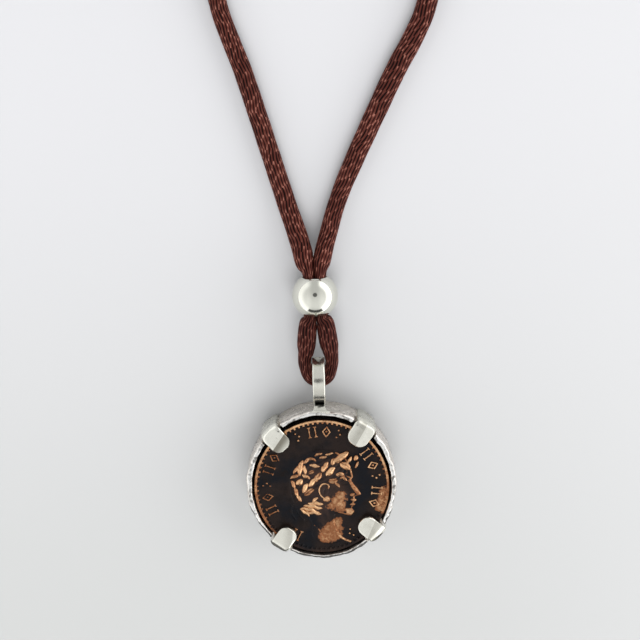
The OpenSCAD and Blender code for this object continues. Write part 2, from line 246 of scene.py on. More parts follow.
# %% Lay the route
CORD_D, ROUTE_STEPS = 4.0, 60
ROUTE = np.array([
    (-3, 216, 3.3, 1, 1), (-8, 216, 3.3, 1, 1), (-14, 214.5, 2.3, 1, 0.94), (-19, 208.5, 1.8, 1, 0.88),
    (-21.3, 186, 1.8, 1, 0.88), (-21.3, 124, 1.8, 0.96, 0.88), (-18.9, 104.5, 1.8, 0.92, 0.88),
    (-13.6, 88.3, 1.8, 0.97, 0.88), (-6.1, 62.6, 1.8, 1, 0.88), (-3.4, 54, 3.2, 1.05, 0.9),
    (-2.35, 49.4, 4.5, 1, 0.92), (-1.52, 46.3, 5, 0.62, 0.96), (-1.52, 38, 5, 0.62, 0.96),
    (-1.95, 35.9, 4.9, 0.95, 0.92), (-2.47, 31.6, 4.7, 1, 0.92), (-2.62, 29.7, 4.65, 0.87, 0.94),
    (-2.9, 28.3, 4.6, 0.74, 0.96), (-2.9, 26.6, 4.5, 0.7, 0.96), (-2, 23.9, 4.4, 0.7, 0.96),
    (0, 23, 4.4, 0.7, 0.96), (2, 23.9, 4.4, 0.7, 0.96), (2.9, 26.6, 4.5, 0.7, 0.96),
    (2.9, 28.3, 4.6, 0.74, 0.96), (2.68, 29.7, 4.65, 0.86, 0.94), (2.38, 31.6, 4.7, 1, 0.92),
    (1.7, 35.9, 4.9, 0.95, 0.92), (0.92, 38, 5, 0.62, 0.96), (0.92, 46.3, 5, 0.62, 0.96),
    (1.3, 49.3, 4.5, 0.93, 0.92), (2.5, 53.8, 3.2, 0.94, 0.9), (5.2, 62.3, 1.8, 0.92, 0.88),
    (8.9, 70.8, 1.8, 1, 0.88), (17, 87.4, 1.8, 1.07, 0.88), (24.9, 103.3, 1.8, 1.05, 0.88),
    (27.4, 124, 1.8, 1, 0.88), (27.3, 186, 1.8, 1, 0.88), (24.6, 208.5, 1.8, 1, 0.88),
    (19.8, 214.5, 2.3, 1, 0.94), (14, 216, 3.3, 1, 1), (9, 216, 3.3, 1, 1),
])


def smooth_line(points, steps):
    """A Catmull-Rom curve through the points, with some steps from each point to the next."""
    p, t = np.array(points, float), np.linspace(0, 1, steps, endpoint=False)[:, None]
    rows = []
    for i in range(len(p) - 1):
        a, b, c, d = p[max(i - 1, 0)], p[i], p[i + 1], p[min(i + 2, len(p) - 1)]
        bend, twist = 2 * a - 5 * b + 4 * c - d, 3 * b - a - 3 * c + d
        rows.append(0.5 * (2 * b + (c - a) * t + bend * t**2 + twist * t**3))
    return np.vstack(rows + [p[-1:]])


line = smooth_line(ROUTE, ROUTE_STEPS)
travelled = np.concatenate([[0], np.cumsum(np.linalg.norm(np.diff(line[:, :3], axis=0), axis=1))])
cord_length = travelled[-1]
print("cord length, mm:", round(cord_length, 1))

# %% [markdown]
# ## The knit
# A knitted cord is a tube of loops. From outside, it reads as columns of short leaning ridges with a
# dark gap between each loop and the next, set like bricks. One formula gives the gaps. It presses them
# into the mesh, and the finish repeats it on the UV map to paint shade into them, to paint highlights
# on the ridges beside them and to add the yarn's fibres.
# Where the cord turns round in the ring, it is pulled tight, and there it is painted darker as painted shade.

# %% Build the cord
COLUMNS, COURSE, LEAN = 18, 2.5, 0.3
COURSES = cord_length / COURSE
GAP_W, GAP_L, GAP_DEEP = 0.28, 0.75, 0.13
# No knit is even: how far its columns wave and its courses shift, and how often
WAVE, WAVE_RATE, RIPPLE, RIPPLE_RATE = 0.3, 1.3, 0.14, 2.9
SHIFT, SHIFT_RATE, DRIFT, DRIFT_RATE, DRIFT_SPREAD = 0.3, 2.4, 0.22, 0.7, 1.7
RINGS, SIDES = 1900, 48


def ramp(value, low, high):
    """A soft step of numbers, from 0 at low to 1 at high."""
    t = np.clip((value - low) / (high - low), 0, 1)
    return t * t * (3 - 2 * t)


def knit(u, v):
    """How deep the knit is at a place: 1 in the middle of a gap, 0 on a loop."""
    along = v * COURSES
    column_place = u * COLUMNS + WAVE * np.sin(along * WAVE_RATE) + RIPPLE * np.sin(along * RIPPLE_RATE)
    column = np.floor(column_place) % COLUMNS
    course = along + 0.5 * (column % 2) + SHIFT * np.sin(column * SHIFT_RATE)
    course = course + DRIFT * np.sin(along * DRIFT_RATE + column * DRIFT_SPREAD)
    ahead = course - np.floor(course) - 0.5
    across = column_place - np.floor(column_place) - 0.5 + LEAN * ahead
    return 1 - ramp(np.hypot(across / GAP_W, ahead / GAP_L), 0.3, 1.05)


def on_line(at, columns):
    """Rows of the line at some distances along it."""
    return np.stack([np.interp(at, travelled, line[:, i]) for i in range(columns)], axis=1)


def cord_place(u, v):
    at = v * cord_length
    middle = on_line(at, 5)
    forward = on_line(at + 0.4, 3) - on_line(at - 0.4, 3)
    forward /= np.linalg.norm(forward, axis=1)[:, None]
    side = np.stack([forward[:, 1], -forward[:, 0], 0 * at], axis=1)
    side /= np.linalg.norm(side, axis=1)[:, None]
    top = np.cross(side, forward)
    turn = math.tau * u
    reach = CORD_D / 2 + 0.05 - GAP_DEEP * knit(u, v) + 0.02 * np.sin(at * 0.9 + turn)
    out = side * (np.cos(turn) * middle[:, 3])[:, None] + top * (np.sin(turn) * middle[:, 4])[:, None]
    return middle[:, :3] + out * reach[:, None]


knitted = Finish("knitted reddish brown cord", Specular_IOR_Level=0.12)
cord_u, cord_v, _ = knitted.parts(knitted.node("ShaderNodeUVMap", {"uv_map": "UVMap"}))
along = cord_v * COURSES
column_place = cord_u * COLUMNS + (along * WAVE_RATE).math("SINE") * WAVE
column_place = column_place + (along * RIPPLE_RATE).math("SINE") * RIPPLE
column = column_place.math("FLOOR").math("FLOORED_MODULO", COLUMNS)
course = along + column.math("MODULO", 2.0) * 0.5 + (column * SHIFT_RATE).math("SINE") * SHIFT
course = course + (along * DRIFT_RATE + column * DRIFT_SPREAD).math("SINE") * DRIFT
ahead = course.math("FRACT") - 0.5
across = column_place.math("FRACT") - 0.5 + ahead * LEAN
gap_x, gap_y = across / GAP_W, ahead / GAP_L
gap_reach = (gap_x * gap_x + gap_y * gap_y).math("SQRT")
stitch = knitted.node("ShaderNodeCombineXYZ", {}, {0: column, 1: course.math("FLOOR")})
chance = knitted.node("ShaderNodeTexWhiteNoise", {"noise_dimensions": "2D"}, {"Vector": stitch})
# The gaps between the loops are painted near black: painted shade in the recesses.
loop = knitted.step(gap_reach + (chance - 0.5) * 0.5, 0.45, 1.0)
fibre_place = knitted.node("ShaderNodeCombineXYZ", {}, {0: column_place * 7.0, 1: along * 1.8, 2: across})
fibre = knitted.noise(1.0, 2, 0.6, fibre_place)
# The ridges beside the gaps get a lighter colour: a painted highlight.
ridge = knitted.step(gap_reach, 1.1, 1.6) * knitted.step(ahead.math("ABSOLUTE"), 0.12, 0.4)
wander = knitted.noise(260, 3)
yarn = knitted.mix(fibre, rgb(72, 28, 22), rgb(118, 60, 49))
yarn = knitted.mix(knitted.step(wander, 0.35, 0.7, 0, 0.5), yarn, rgb(78, 31, 24))
yarn = knitted.mix(ridge * knitted.step(chance, 0.1, 0.9), yarn, rgb(178, 118, 102))
# The stretch painted darker as shade lies between these rows of the route
start, full, still_full, end = (travelled[ROUTE_STEPS * row] / cord_length for row in (11, 13, 25, 27))
ring_shade = knitted.step(cord_v, start, full) * knitted.step(cord_v, end, still_full)
yarn = knitted.mix(ring_shade * 0.45, yarn, rgb(58, 17, 11))
knitted.set("Base Color", knitted.mix(loop, rgb(22, 5, 3), yarn))
knitted.set("Roughness", knitted.step(fibre, 0.2, 0.8, 0.42, 0.62) + (1.0 - loop) * 0.3)
knitted.set("Normal", knitted.bump(loop * 0.8 + fibre * 0.3, 0.00016, 0.8))

cord = finish_piece(rolled(SIDES, RINGS, cord_place), "knit_cord", knitted.material)
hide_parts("cord")

# %% [markdown]
# ## The clasp
# The clasp is out of the photograph. It is a plain polished barrel, and each end of the cord goes into
# a socket in it. Turning one profile about its axis gives the whole barrel with both sockets.

# %% Polished silver, and the clasp
polished = Finish("polished silver", Metallic=1.0)
scratches = polished.noise(900, 4, 0.7)
broad = polished.noise(220, 2)
polished.set("Base Color", polished.mix(broad, rgb(217, 217, 206), rgb(226, 226, 216)))
polished.set("Roughness", polished.step(scratches, 0.3, 0.8, 0.05, 0.16))
polished.set("Normal", polished.bump(broad + scratches * 0.08, 0.00004, 0.35))

CLASP_D, CLASP_L, SOCKET_D, SOCKET = 6.6, 22.0, 4.3, 5.3
LIP, CHAMFER, GROOVE = 0.5, 0.2, 0.15
CLASP_AT = (3, 216, CLASP_D / 2)
half, r, s = CLASP_L / 2, CLASP_D / 2, SOCKET_D / 2
clasp_profile = [(0, SOCKET - half), (s, SOCKET - half), (s, CHAMFER - half), (s + CHAMFER, -half)]
clasp_profile += arc((r - LIP, LIP - half), LIP, -90, 0, 6)
clasp_profile += [(r, -0.9), (r - GROOVE, -0.7), (r - GROOVE, 0.7), (r, 0.9)]
clasp_profile += arc((r - LIP, half - LIP), LIP, 0, 90, 6)
clasp_profile += [(s + CHAMFER, half), (s, half - CHAMFER), (s, half - SOCKET), (0, half - SOCKET)]
barrel = turned(clasp_profile, CLASP_AT, (1, 0, 0), 96)
clasp = finish_piece(barrel, "barrel_clasp", polished.material)
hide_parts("clasp")

# %% [markdown]
# ## The bead
# A ball with a wide hole, polished like a mirror. Its edge at the hole is a little rounded, and the
# hole is a short straight wall.

# %% Build the bead
BEAD_D, BEAD_HOLE, SOFT_EDGE = 10.0, 5.4, 2.5
edge = math.degrees(math.asin(BEAD_HOLE / BEAD_D))
ball = arc((0, 0), BEAD_D / 2, 90 - edge - SOFT_EDGE, edge + SOFT_EDGE - 90, 48)
inner, upper, lower = BEAD_HOLE / 2, ball[0][1], ball[-1][1]
wall = [(inner + 0.03, lower - 0.08), (inner, lower + 0.15)]
wall += [(inner, upper - 0.15), (inner + 0.03, upper + 0.08)]
bead_centre = [(a + b) / 2 / MM for a, b in zip(*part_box("bead"))]
form = turned(ball + wall, bead_centre, (0, 1, 0), 160)
bead = finish_piece(form, "ball_bead", polished.material)
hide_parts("bead")

# %% [markdown]
# ## The table and the light
# The pendant lies on a pale matt sheet in a white light tent. The tent is brightest at its two sides. It
# is open in front, where it is a little darker, and a dark shape stands there low down. It has a small
# dark hole at the top, which the bead mirrors. Three soft panels light only the sheet, and give it the
# shadows behind the pendant and beside the cord.

# %% Table, room and lights
matt = Finish("pale matt sheet", Roughness=0.7)
x, y, _ = matt.parts(matt.place())
# The sheet is painted darker towards the front and a little lighter to the right: a painted falloff of the
# light.
sheet = matt.mix(matt.step(y, -0.05, 0.1), rgb(140, 141, 140), rgb(153, 153, 155))
sheet = matt.mix(matt.step(x, 0.01, 0.12, 0, 0.5), sheet, rgb(159, 159, 160))
matt.set("Base Color", matt.mix(matt.noise(14, 3) * 0.2, sheet, rgb(147, 147, 148)))
bm = bmesh.new()
bmesh.ops.create_grid(bm, x_segments=1, y_segments=1, size=4)
table = placed(bm, "table")
table.data.materials.append(matt.material)

lit = bpy.data.collections.new("lit by the panels")
lit.objects.link(table)
# Each panel's name, its strength and where it stands
PANELS = [("top", 4.04, (0.06, -0.52, 0.85)), ("left", 1.4, (-0.86, 0, 0.5)), ("right", 2.5, (0.88, 0, 0.46))]
PANEL_SPREAD = math.radians(50)
for name, strength, direction in PANELS:
    light = bpy.data.lights.new(name + " panel", "SUN")
    light.energy, light.angle = strength, PANEL_SPREAD
    panel = bpy.data.objects.new(name + " panel", light)
    panel.rotation_euler = Vector(direction).to_track_quat("Z", "Y").to_euler()
    panel.visible_glossy = False
    panel.light_linking.receiver_collection = lit
    bpy.context.scene.collection.objects.link(panel)


class Sky(Finish):
    """The room's light, drawn by direction: x to the right, y up the picture and z straight up."""

    def __init__(self, name):
        self.world = bpy.data.worlds.new(name)
        self.world.use_nodes = True
        self.tree = self.world.node_tree
        self.surface = self.tree.nodes["Background"]


sky = Sky("light tent")
east, north, above = sky.parts(sky.node("ShaderNodeTexCoord", out="Generated"))
opening = sky.step(east.math("ABSOLUTE") + north * 0.5, 0.05, -0.05)
dark_shape = opening * sky.step(above, 0.06, 0.1) * sky.step(above, 0.4, 0.34)
side = sky.step(east.math("ABSOLUTE"), 0.15, 0.6)
low = sky.step(above, 0.65, 0.25)
hole = sky.step(north * 0.23 + above * 0.973, 0.975, 0.99)
glow = side * 0.18 + side * low * (sky.step(east, -0.5, 0.5) * 1.1 + 0.45)
glow = glow + sky.step(north, -0.6, 0.6, 0.9, 0.64)
glow = glow * (1.0 - opening * low * 0.3) * (1.0 - hole * 0.8) * (1.0 - dark_shape * 0.88)
sky.set("Color", sky.node("ShaderNodeCombineColor", {}, {0: glow, 1: glow * 1.002, 2: glow * 1.01}))
bpy.context.scene.world = sky.world
bpy.context.scene.view_settings.view_transform = "Standard"

# %% [markdown]
# ## The cup
# The cup was cast with a hammered outside. Its section is turned once round, and then each point is
# moved a little outwards or inwards: the cup is slightly oval, and the hammer left shallow dents. On the
# lower side the rim falls away outwards, and its fallen edge is painted black, as a painted dark reflection.

# %% Build the cup
COIN_D, COIN_OVAL, COIN_DROP = 30.0, 0.9, 0.4
CUP_H, BACK_T, RECESS, COIN_T, LEDGE = 9.0, 1.2, 1.3, 2.4, 1.6
WALL_T, RIM_FALL = 1.0, 0.75
MOUTH_W = COIN_D + 0.8
MOUTH_L = MOUTH_W + 1.4
CUP_W, CUP_L = MOUTH_W + 2 * WALL_T, MOUTH_L + 2 * WALL_T
SEAT_Z = CUP_H - RECESS - COIN_T
FIELD_Z = SEAT_Z + 0.05 + COIN_T
# The rim's rounded top: share of the wall's thickness from the outside, and height
RIM = [
    (0, 8.55), (0.1, 8.75), (0.22, 8.93), (0.34, 9), (0.5, 9), (0.7, 9), (0.85, 8.97), (0.96, 8.87), (1, 8.7),
]


def oval(width, length, turn):
    """How far an oval's edge is from its middle."""
    return 1 / np.sqrt((np.cos(turn) * 2 / width) ** 2 + (np.sin(turn) * 2 / length) ** 2)


def dents(turn, z, seed, size):
    """Smooth uneven ups and downs round the wall, from -1 to 1."""
    return noise.noise(Vector((math.cos(turn) * 16 / size, math.sin(turn) * 16 / size, z / size + seed)))


def cup_section():
    """The wall's section: (kind, share of the wall's thickness from the inside, height)."""
    rows = [("middle", 0, 0), ("out", 0.5, 0)]
    rows += [("out", x, 0.0) for x in (0.8, 0.93)] + [("out", 1.0, 0.25)]
    rows += [("out", 1.0, z) for z in np.arange(0.5, 8.55, 0.3)]
    rows += [("out", 1 - x, z) for x, z in RIM]
    rows += [("out", 0.0, z) for z in np.arange(8.4, SEAT_Z, -0.3)] + [("out", 0.0, SEAT_Z)]
    return rows + [("ledge", 0, SEAT_Z), ("ledge", 0, BACK_T), ("middle", 0, BACK_T)]


def build_cup(around):
    section = cup_section()
    bm = bmesh.new()
    tag = bm.verts.layers.int.new("row")
    verts = [bm.verts.new((i, 0, 0)) for i in range(len(section))]
    edges = [bm.edges.new(pair) for pair in zip(verts, verts[1:])]
    for i, v in enumerate(verts):
        v[tag] = i
    bmesh.ops.spin(
        bm, geom=verts + edges, cent=(-1, 0, 0), axis=(0, 0, 1), angle=math.tau, steps=around, use_merge=True
    )
    for v in bm.verts:
        kind, share, z = section[v[tag]]
        turn = math.atan2(v.co.y, v.co.x + 1)
        if kind == "middle":
            v.co = (0, -COIN_DROP * MM * (z > 0), z * MM)
            continue
        if kind == "ledge":
            r = COIN_D / 2 - LEDGE
            v.co = (r * math.cos(turn) * MM, (r * math.sin(turn) - COIN_DROP) * MM, z * MM)
            continue
        inner, outer = oval(MOUTH_W, MOUTH_L, turn), oval(CUP_W, CUP_L, turn)
        # Long hollows and two sizes of dents, which fade towards the back, and an uneven top
        hollow = 0.16 * math.sin(7 * turn) * math.cos(4 * turn + math.radians(50))
        beaten = hollow + 0.26 * dents(turn, z, 3, 2.6) + 0.12 * dents(turn, z, 9, 1.1)
        outside = outer + beaten * min(1, z / 2 + 0.3)
        r = inner + (outside - inner) * share + (0.12 * dents(turn, z, 21, 1.4) if z > 8 else 0)
        top = 0.16 * dents(turn, 0, 5, 1.8) + 0.1 * dents(turn, r, 15, 0.8) if z > 8.5 else 0
        lower_side = max(0, min(1, -1.6 * math.sin(turn) - 0.2))
        top -= RIM_FALL * max(0, share - 0.2) / 0.8 * lower_side * ramp(z, 5.5, 8.5)
        v.co = (r * math.cos(turn) * MM, r * math.sin(turn) * MM, (z + min(top, 0.12)) * MM)
    bmesh.ops.remove_doubles(bm, verts=bm.verts, dist=1e-6)
    return bm


cast = Finish("cast and hammered silver", Metallic=1.0)
x, y, high = cast.parts(cast.place())
far = (x * x + y * y).math("SQRT")
_, face_north, face_up = cast.parts(cast.node("ShaderNodeNewGeometry", out="Normal"))
shade = cast.noise(420, 4, 0.65, distortion=0.6)
specks = cast.noise(1300, 3, 0.6)
face = cast.step(high, 0.0084, 0.0087) * cast.step(face_up, 0.7, 0.92)
# Inside the wall, below the rim, the silver is nearly black: partly tarnish in the recess and partly painted
# shade in the deep gap round the coin.
inside = cast.step(far, 0.0155, 0.0152) * cast.step(high, 0.0088, 0.0080)
stain = cast.step(shade, 0.52, 0.66) * 0.75 + cast.step(specks, 0.62, 0.72) * 0.5
wall_tone = cast.mix(stain, rgb(240, 234, 226), rgb(186, 178, 169))
rim_tone = cast.mix(cast.step(shade + specks * 0.4, 0.68, 0.84), rgb(234, 233, 229), rgb(134, 131, 126))
# The outer edge of the fallen rim, which faces down and away, is painted near black: a painted dark
# reflection.
dark_reflection_edge = cast.step(face_up, 0.93, 0.85) * cast.step(face_north, -0.12, -0.36)
dark_reflection_edge = dark_reflection_edge * cast.step(specks, 0.35, 0.5, 1, 0.9) * cast.step(high, 0.0070, 0.0081)
tone = cast.mix(dark_reflection_edge, cast.mix(face, wall_tone, rim_tone), rgb(40, 38, 37))
cast.set("Base Color", cast.mix(inside, tone, rgb(16, 14, 14)))
cast.set("Roughness", cast.step(shade, 0.3, 0.7, 0.22, 0.42) + inside * 0.3)
cast.set("Normal", cast.bump(shade + specks * 0.35, 0.00022, 0.8))
cup = finish_piece(build_cup(360), "hammered_cup", cast.material)

# %% [markdown]
# ## The slots beside the claws
# The caster cut a narrow slot in the rim on each side of a claw. A Boolean with eight thin blocks cuts
# them, after the dents, so that their edges stay crisp.

# %% Cut the slots
def carve(piece, blocks):
    """Cuts blocks out of a piece. A block is (place, size in millimetres)."""
    bm = bmesh.new()
    for place, size in blocks:
        made = bmesh.ops.create_cube(bm, size=1)["verts"]
        bmesh.ops.transform(bm, matrix=place @ Matrix.Diagonal([s * MM for s in size] + [1]), verts=made)
    cutter = placed(bm, "cutter")
    cut = piece.modifiers.new("cut", "BOOLEAN")
    cut.operation, cut.solver, cut.object = "DIFFERENCE", "EXACT", cutter
    bpy.context.view_layer.update()
    carved = bpy.data.meshes.new_from_object(piece.evaluated_get(bpy.context.evaluated_depsgraph_get()))
    piece.modifiers.clear()
    piece.data = carved
    bpy.data.objects.remove(cutter)
    return len(carved.polygons)


CLAW_W = 4.7
# Where each claw stands round the cup, and how wide it is
CLAWS = [(53.5, 1.06), (131, 1.0), (234.3, 0.92), (316.4, 0.98)]
SLOT_L, SLOT_W, SLOT_DEPTH, SLOT_FAR, OVER = 5, 0.5, 3.2, 16.5, 2
slots = []
for turn, share in CLAWS:
    for side in (-1, 1):
        middle = side * (CLAW_W * share + SLOT_W) / 2
        place = Matrix.Translation((SLOT_FAR * MM, middle * MM, (CUP_H - SLOT_DEPTH / 2 + OVER / 2) * MM))
        place = Matrix.Rotation(math.radians(turn), 4, "Z") @ place
        slots.append((place, (SLOT_L, SLOT_W, SLOT_DEPTH + OVER)))
faces = carve(cup, slots)
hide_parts("setting")
print("cup after the slots:", faces, "faces")

# %% [markdown]
# ## The claws
# A claw is a wide flat bar that climbs the wall, bends over the rim and ends in a rounded pad on the
# coin. Each pad was filed at its own slant, to a polished face and a second face that meet in a crease,
# and the second face is painted darker, as painted shade.
# Below the bends of the two lower claws a black line is painted, as painted shade.

# %% Build the claws
PROUD, BEND, REACH, CLAW_T, BAR_T = 0.9, 2.2, 6.0, 1.7, 1.9
CLAW_UNDER = FIELD_Z + 0.5
CLAW_TOP = CLAW_UNDER + CLAW_T
# One row for each claw's pad: how deep it was filed, the fall for 1 mm of its polished face and of its
# second face, the way from the one to the other (0 is outwards), how far the crease is from the pad's
# middle, and how strongly the second face is painted darker, as painted shade
FILED = [
    (0.08, 0.14, 0.04, 96, -0.4, 0.42),
    (0.06, 0.06, 0.26, 194, -0.5, 0.95),
    (0.1, 0.3, 0.07, 300, -1.2, 0.32),
    (0.12, 0.05, 0.2, 20, 1.05, 0.45),
]


def past_crease(r, t, outer, filed):
    """Millimetres past the crease, on the side painted as shade. r is outwards and t is across the claw."""
    way, crease_at = math.radians(filed[3]), filed[4]
    return (r - outer + (BEND + REACH) / 2) * math.cos(way) + t * math.sin(way) - crease_at


def rounded(angle, power):
    """A point of a square with soft corners. A higher power makes the corners sharper."""
    c, s = np.cos(angle), np.sin(angle)
    return np.sign(c) * np.abs(c) ** (2 / power), np.sign(s) * np.abs(s) ** (2 / power)


def claw_place(turn_deg, width, filed):
    """Gives the place(u, v) of one claw, which starts at the table and ends at its tip."""
    turn = math.radians(turn_deg)
    outer = float(oval(CUP_W, CUP_L, turn)) + PROUD
    straight, quarter, flat = CLAW_TOP - BEND - 0.2, math.pi / 2 * BEND, REACH - BEND
    total, round_r = straight + quarter + flat, 0.46 * width
    deep, polished_fall, shaded_fall = filed[:3]

    def place(u, v):
        # The bar's outer line, and the way out from it
        s = v * total
        left = total - s
        a = np.clip((s - straight) / BEND, 0, math.pi / 2)
        r = outer - BEND + BEND * np.cos(a) - np.clip(s - straight - quarter, 0, None)
        z = np.minimum(s + 0.2, CLAW_TOP - BEND) + BEND * np.sin(a)
        out_r, out_z = np.cos(a), np.sin(a)
        # The section: a bar with a round tip, which gets thinner where it is bent
        tip = np.clip(1 - left / round_r, 0, 1)
        half_width = width / 2 - round_r + round_r * np.sqrt(np.clip(1 - tip**2, 0, 1))
        half_width = half_width * (1 - 0.1 * ramp(s, 3.5, 0))
        bent = ramp(s, straight, straight + quarter)
        soft_end = np.clip(1 - left / 0.8, 0, 1)
        thick = (BAR_T + (CLAW_T - BAR_T) * bent) * np.sqrt(np.clip(1 - soft_end**2, 0, 1))
        thick = thick * (0.25 + 0.75 * ramp(s, -0.4, 0.9))
        across, through = rounded(math.tau * u, 3.2)
        depth = BAR_T / 2 + (CLAW_T / 2 - BAR_T / 2) * bent
        r = r + out_r * (through * thick / 2 - depth)
        z = z + out_z * (through * thick / 2 - depth)
        t = across * half_width
        # Soft lumps, and then the file
        spots = np.stack([r, t, z], axis=1) / 2.2 + (turn_deg, 0, 0)
        lump = np.array([noise.noise(Vector(spot)) for spot in spots])
        r, z, t = r + 0.13 * lump * out_r, z + 0.1 * lump * out_z, t + 0.08 * lump
        past = past_crease(r, t, outer, filed)
        limit = CLAW_TOP - deep - polished_fall * np.clip(-past, 0, None) - shaded_fall * np.clip(past, 0, None)
        limit = limit - 0.35 * np.clip((r - (outer - BEND + 0.4)), 0, None) ** 1.5
        z = np.where(z > CLAW_UNDER + 0.5, np.minimum(z, np.maximum(limit, CLAW_UNDER + 0.7)), z)
        c, d = math.cos(turn), math.sin(turn)
        return np.stack([r * c - t * d, r * d + t * c, np.maximum(z, 0.02)], axis=1)

    return place


PIT_Y = (CUP_L / 2 + 1.85) * MM
GREY_TONE, BEND_SHADE_TONE, PIT_SHADE = rgb(126, 122, 110), rgb(40, 38, 34), rgb(22, 20, 18)
silver = Finish("polished cast silver", Metallic=1.0)
wear = silver.noise(350, 4, 0.6)
pits = silver.step(silver.noise(900, 2, 0.5), 0.7, 0.78)
bright = silver.mix(silver.step(wear, 0.4, 0.75) * 0.5 + pits * 0.5, rgb(235, 234, 223), rgb(188, 186, 174))
past = silver.attribute("crease")
# The second face of each pad is painted darker, strongest near its crease: painted shade.
painted_facet_shade = silver.attribute("facet_shade_share") * silver.step(past, 0.0, 0.12) * silver.step(past, 0.6, 2.6, 1, 0.25)
x, y, z = silver.parts(silver.place())
aside = x.math("ABSOLUTE")
# The pit between the foot and the ring is painted near black: painted shade in the recess.
pit_shade = silver.step(aside, 0.00112, 0.00096) * silver.step(y, PIT_Y - 0.0007, PIT_Y - 0.0004)
pit_shade = pit_shade * silver.step(y, PIT_Y + 0.001, PIT_Y + 0.0007) * silver.step(z, 0.0094, 0.0090)
# A greyer stripe along the middle of the ring's top, towards the cup.
ring_top_grey = silver.step(y, PIT_Y + 0.0048, PIT_Y + 0.0028) * silver.step(z, 0.0088, 0.0094)
bright = silver.mix(ring_top_grey * silver.step(aside, 0.0014, 0.001) * 0.36, bright, GREY_TONE)
bright = silver.mix(pit_shade, bright, PIT_SHADE)
# Below the bends of the lower claws a black line is painted: painted shade.
bright = silver.mix(silver.step(silver.attribute("bend_shade"), 0, 0.3) * 0.9, bright, BEND_SHADE_TONE)
silver.set("Base Color", silver.mix(painted_facet_shade, bright, GREY_TONE))
silver.set("Roughness", silver.step(wear, 0.3, 0.7, 0.14, 0.34))
silver.set("Normal", silver.bump(wear - pits * 0.6, 0.00012, 0.5))
for i, ((turn, share), filed) in enumerate(zip(CLAWS, FILED)):
    bm = rolled(80, 150, claw_place(turn, CLAW_W * share, filed))
    crease, facet_shade_share, bend_shade = (bm.verts.layers.float.new(name) for name in ("crease", "facet_shade_share", "bend_shade"))
    out = Vector((math.cos(math.radians(turn)), math.sin(math.radians(turn)), 0))
    outer = float(oval(CUP_W, CUP_L, math.radians(turn))) + PROUD
    for v in bm.verts:
        r, t = v.co.dot(out) / MM, (out.x * v.co.y - out.y * v.co.x) / MM
        v[crease] = past_crease(r, t, outer, filed)
        v[facet_shade_share] = filed[5] * ramp(v.co.z / MM, CLAW_UNDER + 0.5, CLAW_UNDER + 0.8)
        # The black line of painted shade begins on the outer part of the bend, low in the picture, and ends
        # below it
        below = max(0, CLAW_TOP - 1.5 - v.co.z / MM)
        v[bend_shade] = r - outer + 1.25 - 0.5 * max(0, v.co.y / MM + 12.5) - 1.5 * below if turn > 180 else -1
    finish_piece(bm, f"claw_{i + 1}", silver.material)

# %% [markdown]
# ## The bail and its foot
# The bail is a flat band bent into a ring, so one rounded section is turned about the ring's axis. The
# foot is a narrow web that flares only where it meets the rim. It is built level by level, sliced to its
# slopes, and its sharp edges are rounded. Between the ring and the foot a small pit is left, and it is
# painted near black as painted shade.

# %% Build the bail
BAIL_D, BAIL_T, BAIL_W, BAIL_GAP, ROUND = 10.4, 1.3, 2.7, 0.85, 0.3
BAIL_Y, BAIL_Z = CUP_L / 2 + BAIL_GAP + BAIL_D / 2, BAIL_D / 2
r_mid = (BAIL_D - BAIL_T) / 2
band = []
for sx, sy, start in ((1, 1, 0), (-1, 1, 90), (-1, -1, 180), (1, -1, 270)):
    centre = (r_mid + sx * (BAIL_T / 2 - ROUND), sy * (BAIL_W / 2 - ROUND))
    band += arc(centre, ROUND, start, start + 90, 5)
finish_piece(turned(band, (0, BAIL_Y, BAIL_Z), (1, 0, 0), 160), "ring_bail", silver.material)

FOOT_W, FLARE_H, NECK = 4.4, 1.3, 0.86
neck = BAIL_W * NECK / 2
flare = FOOT_W / 2 - neck
base_y, neck_y = CUP_L / 2 - 0.8 * WALL_T, BAIL_Y - BAIL_D * 0.42
outline = [(-FOOT_W / 2, base_y)] + arc((-FOOT_W / 2, CUP_L / 2 + flare), flare, -90, 0, 8)
outline += [(-neck, neck_y + BAIL_T), (neck, neck_y + BAIL_T)]
outline += arc((FOOT_W / 2, CUP_L / 2 + flare), flare, 180, 270, 8) + [(FOOT_W / 2, base_y)]


def foot_level(bm, z, share):
    """One level of the foot. Its sides stand out past the neck by a share of the flare."""
    sides = [math.copysign(neck + (abs(x) - neck) * share, x) for x, _ in outline]
    return [bm.verts.new((x * MM, y * MM, z * MM)) for x, (_, y) in zip(sides, outline)]


bm = bmesh.new()
levels = [(0, 0), (CUP_H - FLARE_H - 0.4, 0), (CUP_H - FLARE_H, 0.2)]
levels += [(CUP_H - 0.9, 0.6), (CUP_H - 0.6, 0.9), (CUP_H, 1)]
rings = [foot_level(bm, z, share) for z, share in levels]
for low, high in zip(rings, rings[1:]):
    for k in range(len(outline)):
        j = (k + 1) % len(outline)
        bm.faces.new((low[k], low[j], high[j], high[k]))
bm.faces.new(rings[0][::-1])
bm.faces.new(rings[-1])
